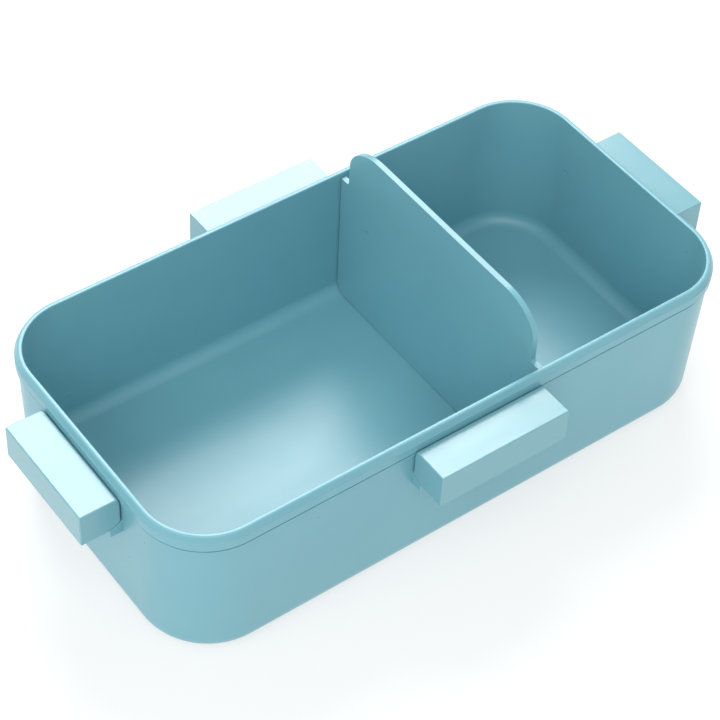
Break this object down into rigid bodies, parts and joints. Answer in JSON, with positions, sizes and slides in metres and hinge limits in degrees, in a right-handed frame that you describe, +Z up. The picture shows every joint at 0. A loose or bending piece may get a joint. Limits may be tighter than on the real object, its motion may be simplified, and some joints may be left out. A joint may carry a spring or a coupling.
{
  "type": "bento lunch box",
  "caption": "Open rectangular plastic lunch box with rounded corners, swing clasps on its walls and a lift-out divider taller than the rim.",
  "frame": {"origin": "middle of the underside, on the plane that the box stands on", "axes": "+X along the long side towards the small compartment, +Y towards the back clasp, +Z up"},
  "size_m": [0.1898, 0.1076, 0.0593],
  "materials": {
    "container_polypropylene": "satin moulded polypropylene, pale teal blue",
    "divider_polypropylene": "satin moulded polypropylene, pale teal blue",
    "clasp_abs": "satin moulded ABS, pale teal blue"
  },
  "bodies": {
    "container": {"container": "container_polypropylene"},
    "divider": {"divider": "divider_polypropylene"},
    "clasp_front": {"clasp_front": "clasp_abs"},
    "clasp_back": {"clasp_back": "clasp_abs"},
    "clasp_left": {"clasp_left": "clasp_abs"},
    "clasp_right": {"clasp_right": "clasp_abs"}
  },
  "joints": [
    {"name": "divider_lift", "type": "slide", "parent": "container", "child": "divider", "axis": [0, 0, 1], "range_m": [0, 0.06]},
    {"name": "clasp_front_swing", "type": "hinge", "parent": "container", "child": "clasp_front", "pos_m": [0, -0.048, 0.03885], "axis": [-1, 0, 0], "range_deg": [0, 90]},
    {"name": "clasp_back_swing", "type": "hinge", "parent": "container", "child": "clasp_back", "pos_m": [0, 0.048, 0.03885], "axis": [1, 0, 0], "range_deg": [0, 90]},
    {"name": "clasp_left_swing", "type": "hinge", "parent": "container", "child": "clasp_left", "pos_m": [-0.0891, 0, 0.03885], "axis": [0, 1, 0], "range_deg": [0, 90]},
    {"name": "clasp_right_swing", "type": "hinge", "parent": "container", "child": "clasp_right", "pos_m": [0.0891, 0, 0.03885], "axis": [0, -1, 0], "range_deg": [0, 90]}
  ]
}
